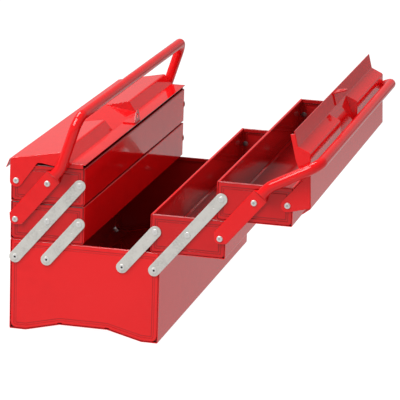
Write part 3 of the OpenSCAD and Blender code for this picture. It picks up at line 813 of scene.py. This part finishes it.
def hasp_shells():
    """The hasp: a foot on the flange, and a tab with a rounded head round its hole.

    The tab is a fan of rays from the hole's middle: a point lies between the hole's circle
    and the outline, which is the head's circle above the shoulders, and below them the
    nearest of the sloping side, the upright side and the lower edge.
    """
    t, half, edge = HASP_T, HASP_W / 2, HASP_EDGE
    u0, foot_u = LID_IN + HASP_IN, LID_IN + HASP_IN + HASP_FOOT
    hole_z = FLAT_Z + HASP_HOLE_Z
    head_r = HASP_HOLE_R + HASP_RIM
    slant = math.radians(HASP_SLANT)
    shoulder = head_r * np.array([math.cos(slant), math.sin(slant)])
    low = np.array([half, FLAT_Z + HASP_LOW - hole_z])
    knuckle = np.array([half, FLAT_Z + t - hole_z])
    # The rays go round evenly, and also through the outline's corners on both sides
    turns = np.array([math.atan2(p[1], p[0]) for p in (low, knuckle, shoulder)])
    mirrored = math.pi - turns - TURN * (turns < 0)
    round_turns = np.linspace(-math.pi, math.pi, 72, endpoint=False)
    a = np.unique(np.round(np.concatenate([round_turns, turns, mirrored]), 5))
    ray = np.stack([np.cos(a), np.sin(a)], axis=1)
    across, up = np.abs(ray[:, 0]), ray[:, 1]
    side = shoulder - knuckle
    out = unit(np.array([side[1], -side[0]]))
    facing = across * out[0] + up * out[1]
    to_side = np.where(facing > TINY, knuckle @ out / np.maximum(facing, TINY), FAR)
    to_low = np.where(up < -TINY, low[1] / np.minimum(up, -TINY), FAR)
    to_wall = half / np.maximum(across, TINY)
    below = np.minimum(np.minimum(to_side, to_low), to_wall)
    outline_r = np.where(up > shoulder[1] / head_r + ROUNDING, head_r, below)
    # Each ring is on the hole (0) or the outline (1), moved outwards, and set back
    profile = [
        (0, edge, 0), (0, 0, edge), (0, 0, t - edge), (0, edge, t),
        (1, -edge, t), (1, 0, t - edge), (1, 0, edge), (1, -edge, 0),
    ]
    rings = []
    for on_outline, shift, depth in profile:
        y, z = ray.T * ((outline_r if on_outline else HASP_HOLE_R) + shift)
        rings.append(points_at(u0 + depth, y, hole_z + z))
    # The rings at the tab's outline get painted shade, which dims the highlight on its cut edge
    cut = HASP_DARK * np.array(profile)[:, :1]
    shape = len(rings), len(a)
    tab = (
        np.array(rings).reshape(-1, 3), grid_faces(*shape, close_rows=True),
        marks_of(shape, 0.0, cut),
    )
    corners = [
        [u0 + t / 2, FLAT_Z + NUDGE], [foot_u, FLAT_Z + NUDGE], [foot_u, FLAT_Z + t],
        [u0 + t / 2, FLAT_Z + t],
    ]
    foot = plate(corners, [SLIM, SLIM, HASP_BEND_R, SLIM], -half, half, edge, guard=SLIM)
    return [tab, foot]


# Finishes

# The stretches of each noise that its masks and tones use
SLOW_FROM, SLOW_TO = 0.35, 0.65
FINE_FROM, FINE_TO = 0.3, 0.7
SCUFF_FROM, SCUFF_TO = 0.66, 0.74
PATCH_FROM, PATCH_TO = 0.48, 0.62
PATCH_SIZE = 11.0
FINE_RELIEF = 0.4
# Extra roughness where painted shade is marked
SHADE_MARK_ROUGH = 0.3
SCUFF_ROUGH = 0.3


def put(tree, kind, inputs=(), **settings):
    """A new node with its settings; each input takes a value, or a link from another socket."""
    node = tree.nodes.new(kind)
    for name, value in settings.items():
        setattr(node, name, value)
    for name, value in dict(inputs).items():
        if isinstance(value, bpy.types.NodeSocket):
            tree.links.new(value, node.inputs[name])
        else:
            node.inputs[name].default_value = value
    return node


def effect(name, inputs, outputs):
    """A node group for one effect, with the sockets that go in and out of it."""
    tree = bpy.data.node_groups.new(name, "ShaderNodeTree")
    for way, sockets in (("INPUT", inputs), ("OUTPUT", outputs)):
        for label, kind in sockets.items():
            tree.interface.new_socket(label, in_out=way, socket_type=f"NodeSocket{kind}")
    entry = tree.nodes.new("NodeGroupInput").outputs
    leave = tree.nodes.new("NodeGroupOutput").inputs
    return tree, entry, leave


def noise(tree, place, scale, detail=2.0, roughness=0.5):
    """A noise of the given scale at a place."""
    return put(tree, "ShaderNodeTexNoise", {
        "Vector": place, "Scale": scale, "Detail": detail, "Roughness": roughness,
    }).outputs["Fac"]


def spread(tree, value, low, high, to_low=0.0, to_high=1.0):
    """A value's range from low to high, stretched onto another range."""
    return put(tree, "ShaderNodeMapRange", {
        "Value": value, "From Min": low, "From Max": high, "To Min": to_low, "To Max": to_high,
    }).outputs["Result"]


def blend_colours(tree, share, a, b):
    """A mix of two colours."""
    return put(tree, "ShaderNodeMix", {0: share, 6: a, 7: b}, data_type="RGBA").outputs[2]


def maths(tree, kind, a, b):
    """Two values put together."""
    return put(tree, "ShaderNodeMath", {0: a, 1: b}, operation=kind).outputs[0]


def coat_with_painted_shade():
    """Slow drifts of tone and finer mottling, then painted shade on the inside and at marked
    places, with a roughness that drifts with the mottling and is higher at those marked places.
    """
    tree, entry, leave = effect(
        "coat_with_painted_shade",
        {"Tone": "Color", "Deep Tone": "Color", "Inside Painted Shade": "Color", "Painted Shade Tone": "Color",
         "Drift": "Float", "Mottle": "Float", "Smooth": "Float", "Dull": "Float"},
        {"Colour": "Color", "Roughness": "Float"},
    )
    place = put(tree, "ShaderNodeTexCoord").outputs["Object"]
    slow = noise(tree, place, entry["Drift"], 3.0)
    fine = noise(tree, place, entry["Mottle"], 4.0, 0.6)
    share = maths(
        tree, "MULTIPLY", spread(tree, slow, SLOW_FROM, SLOW_TO),
        spread(tree, fine, FINE_FROM, FINE_TO),
    )
    outside = blend_colours(tree, share, entry["Tone"], entry["Deep Tone"])
    inside = put(tree, "ShaderNodeAttribute", attribute_name="inside").outputs["Fac"]
    painted_shade = put(tree, "ShaderNodeAttribute", attribute_name="painted_shade").outputs["Fac"]
    inside_shaded = blend_colours(tree, inside, outside, entry["Inside Painted Shade"])
    colour = blend_colours(tree, painted_shade, inside_shaded, entry["Painted Shade Tone"])
    rough = spread(tree, fine, FINE_FROM, FINE_TO, entry["Smooth"], entry["Dull"])
    dry = maths(tree, "ADD", rough, maths(tree, "MULTIPLY", painted_shade, SHADE_MARK_ROUGH))
    tree.links.new(colour, leave["Colour"])
    tree.links.new(dry, leave["Roughness"])
    return tree


def handling_scuffs():
    """Thin scuffs in two directions: noises stretched along each, cut off high, in patches."""
    tree, entry, leave = effect("handling_scuffs", {"Size": "Float"}, {"Mask": "Float"})
    place = put(tree, "ShaderNodeTexCoord").outputs["Object"]
    masks = []
    for turned, stretched in (((0.2, 0.5, 0.3), (14, 1, 9)), ((1.1, 0.4, 0.9), (1, 12, 16))):
        laid = put(tree, "ShaderNodeMapping", {
            "Vector": place, "Rotation": turned, "Scale": stretched,
        }).outputs["Vector"]
        masks.append(spread(tree, noise(tree, laid, entry["Size"], 1.0), SCUFF_FROM, SCUFF_TO))
    patches = spread(tree, noise(tree, place, PATCH_SIZE), PATCH_FROM, PATCH_TO)
    either = maths(tree, "MAXIMUM", masks[0], masks[1])
    tree.links.new(maths(tree, "MULTIPLY", either, patches), leave["Mask"])
    return tree


def surface_grain():
    """The relief of a finish: a fine grain on slower waves."""
    tree, entry, leave = effect(
        "surface_grain", {"Fine": "Float", "Wave": "Float"}, {"Height": "Float"}
    )
    place = put(tree, "ShaderNodeTexCoord").outputs["Object"]
    fine = maths(tree, "MULTIPLY", noise(tree, place, entry["Fine"]), FINE_RELIEF)
    wave = noise(tree, place, entry["Wave"], 1.0)
    tree.links.new(maths(tree, "ADD", fine, wave), leave["Height"])
    return tree


COAT_AND_SHADE, SCUFFS, GRAIN = coat_with_painted_shade(), handling_scuffs(), surface_grain()


def grown(tree, group, inputs):
    """One effect placed in a material with its own values."""
    return put(tree, "ShaderNodeGroup", inputs, node_tree=group).outputs


def finish_of(
    name, tone, deep, inside, painted_shade, drift, mottle, smooth, dull,
    scuff_size, scuff_share, scuff_tone, fine, wave, bump, bump_depth, metallic=0.0,
):
    """A material: the coat's two tones and its two tones of painted shade, its scuffs in a fifth,
    its relief, and the shader.
    """
    material = bpy.data.materials.new(name)
    material.use_nodes = True
    tree = material.node_tree
    principled = tree.nodes["Principled BSDF"]
    coat = grown(tree, COAT_AND_SHADE, {
        "Tone": (*tone, 1), "Deep Tone": (*deep, 1), "Inside Painted Shade": (*inside, 1),
        "Painted Shade Tone": (*painted_shade, 1), "Drift": drift, "Mottle": mottle, "Smooth": smooth,
        "Dull": dull,
    })
    mask = grown(tree, SCUFFS, {"Size": scuff_size})["Mask"]
    share = maths(tree, "MULTIPLY", mask, scuff_share)
    colour = blend_colours(tree, share, coat["Colour"], (*scuff_tone, 1))
    worn = maths(tree, "MULTIPLY", share, SCUFF_ROUGH)
    rough = maths(tree, "ADD", coat["Roughness"], worn)
    height = grown(tree, GRAIN, {"Fine": fine, "Wave": wave})["Height"]
    relief = put(tree, "ShaderNodeBump", {
        "Strength": bump, "Distance": bump_depth, "Height": height,
    })
    tree.links.new(colour, principled.inputs["Base Color"])
    tree.links.new(rough, principled.inputs["Roughness"])
    tree.links.new(relief.outputs["Normal"], principled.inputs["Normal"])
    principled.inputs["Metallic"].default_value = metallic
    return material


# Each finish's inside tone and its dark tone for marked places are painted shade; the links carry
# no such marks
ENAMEL = {
    "drift": 7.0, "mottle": 60.0, "scuff_size": 55.0, "scuff_share": 0.12, "fine": 900.0,
    "wave": 330.0, "bump": 0.05, "bump_depth": 0.0002,
}
red_enamel = finish_of(
    "red_enamel", tone=(0.74, 0.006, 0.008), deep=(0.67, 0.004, 0.006),
    inside=(0.38, 0.008, 0.009), painted_shade=(0.26, 0.0, 0.002), smooth=0.04, dull=0.08,
    scuff_tone=(0.8, 0.12, 0.11), **ENAMEL,
)
# The trays' end panels take a darker copy of the red enamel: painted shade
shaded_enamel = finish_of(
    "shaded_enamel", tone=(0.56, 0.005, 0.007), deep=(0.49, 0.003, 0.005),
    inside=(0.36, 0.008, 0.009), painted_shade=(0.08, 0.0, 0.0), smooth=0.06, dull=0.1,
    scuff_tone=(0.68, 0.1, 0.1), **ENAMEL,
)
zinc_plate = finish_of(
    "zinc_plate", tone=(0.72, 0.7, 0.655), deep=(0.54, 0.52, 0.49),
    inside=(0.54, 0.52, 0.49), painted_shade=(0.02, 0.02, 0.02), drift=60.0, mottle=420.0,
    smooth=0.4, dull=0.54, scuff_size=120.0, scuff_share=0.45, scuff_tone=(0.8, 0.79, 0.76),
    fine=1400.0, wave=420.0, bump=0.3, bump_depth=0.0002, metallic=0.5,
)
burnished_zinc = finish_of(
    "burnished_zinc", tone=(0.8, 0.785, 0.76), deep=(0.7, 0.685, 0.66),
    inside=(0.2, 0.19, 0.19), painted_shade=(0.012, 0.012, 0.014), drift=180.0, mottle=700.0,
    smooth=0.36, dull=0.46, scuff_size=140.0, scuff_share=0.3, scuff_tone=(0.7, 0.7, 0.7),
    fine=2200.0, wave=500.0, bump=0.15, bump_depth=0.0001, metallic=0.6,
)


# The box, piece by piece

def upright(side=RIGHT, shift=0.0, z=0.0):
    """Places a shape given from the box's centre line, moved outwards and up."""
    return standing(CENTRE_X + side * shift, z, side)


make_piece(
    "base_sheet", [trough(base_outline(BASE_T / 2), BASE_T, 0.0)], upright(), red_enamel,
    "base", "base_body",
)
for end in (FRONT, REAR):
    make_piece(
        f"base_{END_NAMES[end]}_end",
        [
            end_panel(
                base_outline, BASE_T, BASE_CORNER, folds=[1, -2], notches=(3, 4),
                rim_dark=OPEN_RIM_DARK, end=end,
            ),
            hem_bar(-HALF_W, HALF_W, BASE_H, BASE_T, end),
        ],
        upright(), red_enamel, "base", f"base_{END_NAMES[end]}_panel",
    )

MID_U = abs(pivot(LEFT, "short_link_swing")[0] - CENTRE_X)
OUTER_U = abs(pivot(LEFT, "swing")[0] - CENTRE_X)
INNER_U = abs(pivot(LEFT, "upper_tray_level")[0] - CENTRE_X)
BASE_PIVOT_Z = pivot(LEFT, "swing")[1]
TRAY_PIVOT_Z = TRAY_H - (BASE_H - BASE_PIVOT_Z)
HELD_LINK = (SEAT_GAP, LINK_T, LINK_HEAD_H)
HELD_STRAP = (SEAT_GAP, STRAP_T, HEAD_H)
HELD_EAR = (EAR_GAP, LID_T, HEAD_H)

make_piece(
    "base_pivot_rivets",
    [
        rivet(side * u, BASE_PIVOT_Z, end, BASE_T, *HELD_LINK, PIP)
        for side in (LEFT, RIGHT) for u in (MID_U, OUTER_U) for end in (FRONT, REAR)
    ],
    upright(), burnished_zinc, "base", "base_rivets",
)


def lid_place(side):
    """Places a closed lid's points, given from the box's centre line, where the lid stands."""
    hinge = standing(*pivot(side, "lid_turn"), side, LID_OPEN[side])
    return lambda p: hinge(p - [LID_PIVOT_U, 0, LID_PIVOT_Z])


def make_tray(side, tray, grips):
    """A tray's sheet, end panels and rivets, with what each rivet grips, from inside outwards."""
    body = f"{SIDE_NAMES[side]}_{tray}_tray"
    there = upright(side, tray_shift(side, tray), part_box(f"{body}_body")[0][2] / MM)
    shut = side == LEFT
    # A closed tray's rims, under the lid or the tray above, are painted dark as shade; open rims
    # are painted a little darker, which dims their highlight
    dark_h = SEAM_DARK_H[tray] if shut else 0.0
    make_piece(
        f"{body}_sheet", [trough(tray_outline(TRAY_T / 2), TRAY_T, dark_h)], there,
        red_enamel, body, f"{body}_body",
    )
    for end, end_name in END_NAMES.items():
        make_piece(
            f"{body}_{end_name}_end",
            [
                end_panel(
                    tray_outline, TRAY_T, TRAY_CORNER, folds=[-2], notches=(),
                    rim_dark=1.0 if shut else OPEN_RIM_DARK, end=end,
                ),
                hem_bar(TRAY_IN, HALF_W, TRAY_H, TRAY_T, end),
            ],
            there, shaded_enamel, body, f"{body}_{end_name}_panel",
        )
    make_piece(
        f"{body}_pivot_rivets",
        [
            rivet(u, TRAY_PIVOT_Z, end, TRAY_T, *grip, FAINT if grip is HELD_LINK else DISH)
            for u, grip in zip((INNER_U, MID_U, OUTER_U), grips) for end in (FRONT, REAR)
        ],
        there, burnished_zinc, body, f"{body}_rivets",
    )


for side, bank in SIDE_NAMES.items():
    lean = arm(side)[1]
    for end, end_name in END_NAMES.items():
        for joint, stages, length in (("swing", 2, "long"), ("short_link_swing", 1, "short")):
            make_piece(
                f"{bank}_{end_name}_{length}_bar", [link_bar(stages, end)],
                standing(*pivot(side, joint), side, lean), zinc_plate,
                f"{bank}_{length}_links", f"{bank}_{end_name}_{length}_link",
            )
    make_tray(side, "lower", (HELD_LINK, HELD_LINK, HELD_STRAP))
    make_tray(side, "upper", (HELD_LINK, HELD_STRAP, HELD_EAR))
    make_piece(
        f"{bank}_handle_tube", [handle_tube()],
        standing(*pivot(side, "handle_swing"), side, lean), red_enamel,
        f"{bank}_handle", f"{bank}_handle",
    )
    make_piece(
        f"{bank}_lid_sheet", [lid_roof(), lid_end_plate(FRONT), lid_end_plate(REAR)],
        lid_place(side), red_enamel, f"{bank}_lid", f"{bank}_lid",
    )
    make_piece(
        f"{bank}_hasp_tab", hasp_shells(), lid_place(side), red_enamel, f"{bank}_lid",
        f"{bank}_hasp",
    )


# Floor, light and camera, in metres

FLOOR_HALF = 9.0
# How bright the paper and the room's walls look to rays that aren't the camera's or a gloss's
PAPER_AROUND = 0.66
WALL_AROUND = 0.6


def glow(tree, seen, mirrored, around):
    """A brightness for what the camera sees, for what shines in gloss, and for all other rays."""
    path = put(tree, "ShaderNodeLightPath").outputs
    rest = put(tree, "ShaderNodeMix", {
        0: path["Is Glossy Ray"], 2: around, 3: mirrored,
    }).outputs[0]
    return put(tree, "ShaderNodeMix", {0: path["Is Camera Ray"], 2: rest, 3: seen}).outputs[0]


def studio_paper():
    """White paper that glows, in gloss less the further it lies from the box."""
    paper = bpy.data.materials.new("studio_paper")
    paper.use_nodes = True
    tree = paper.node_tree
    place = put(tree, "ShaderNodeTexCoord").outputs["Object"]
    distance = put(
        tree, "ShaderNodeVectorMath", {0: place}, operation="LENGTH"
    ).outputs["Value"]
    gloss = spread(tree, distance, low=0.3, high=2.6, to_low=0.5, to_high=0.13)
    shader = tree.nodes["Principled BSDF"].inputs
    tree.links.new(glow(tree, 1.0, gloss, PAPER_AROUND), shader["Emission Strength"])
    shader["Emission Color"].default_value = (1, 1, 1, 1)
    shader["Base Color"].default_value = (0.06, 0.06, 0.06, 1)
    shader["Roughness"].default_value = 0.9
    return paper


def studio_walls():
    """White walls all round, in gloss darker further up."""
    world = bpy.data.worlds.new("studio")
    world.use_nodes = True
    tree = world.node_tree
    heading = put(tree, "ShaderNodeTexCoord").outputs["Generated"]
    rise = put(tree, "ShaderNodeSeparateXYZ", {"Vector": heading}).outputs["Z"]
    gloss = spread(tree, rise, low=0.1, high=0.36, to_low=0.38, to_high=0.22)
    sky = tree.nodes["Background"].inputs
    tree.links.new(glow(tree, 1.0, gloss, WALL_AROUND), sky["Strength"])
    sky["Color"].default_value = (1, 1, 1, 1)
    return world


def soft_box(name, place, aim, size, watts):
    """A square soft box that looks from one point at another."""
    data = bpy.data.lights.new(name, "AREA")
    data.size, data.energy = size, watts
    lamp = bpy.data.objects.new(name, data)
    lamp.location = place
    lamp.rotation_euler = (Vector(aim) - Vector(place)).to_track_quat("-Z", "Y").to_euler()
    bpy.context.scene.collection.objects.link(lamp)


floor_mesh = bpy.data.meshes.new("studio_floor")
floor_mesh.from_pydata(
    [(x * FLOOR_HALF, y * FLOOR_HALF, 0) for x, y in ((-1, -1), (1, -1), (1, 1), (-1, 1))],
    [], [(0, 1, 2, 3)],
)
floor_mesh.materials.append(studio_paper())
floor = bpy.data.objects.new("studio_floor", floor_mesh)
bpy.context.scene.collection.objects.link(floor)

bpy.context.scene.world = studio_walls()
soft_box("key", place=(-1.15, -1.72, 2.5), aim=(0.05, 0, 0.1), size=2.0, watts=88)
soft_box("overhead", place=(-1.1, 0.75, 2.7), aim=(0.05, 0, 0.2), size=1.5, watts=46)

# The camera stands at the photograph's angle: round the box, above it, and a little rolled
AZIMUTH = math.radians(13.585997)
ELEVATION = math.radians(14.84563)
ROLL = math.radians(1.840394)
DISTANCE = 3.5153152
LENS = 231.42
AIM = Vector((CENTRE_X * MM + 0.0886628, 0, 0.1268051))
back = Vector((
    math.sin(AZIMUTH) * math.cos(ELEVATION), -math.cos(AZIMUTH) * math.cos(ELEVATION),
    math.sin(ELEVATION),
))
level = Vector((math.cos(AZIMUTH), math.sin(AZIMUTH), 0))
upward = back.cross(level)
right = level * math.cos(ROLL) + upward * math.sin(ROLL)
top = upward * math.cos(ROLL) - level * math.sin(ROLL)
camera_data = bpy.data.cameras.new("photo_camera")
camera_data.lens = LENS
camera = bpy.data.objects.new("photo_camera", camera_data)
turned = Matrix((right, top, back)).transposed().to_4x4()
camera.matrix_world = Matrix.Translation(AIM + back * DISTANCE) @ turned
bpy.context.scene.collection.objects.link(camera)
bpy.context.scene.camera = camera
bpy.context.scene.view_settings.view_transform = "Standard"
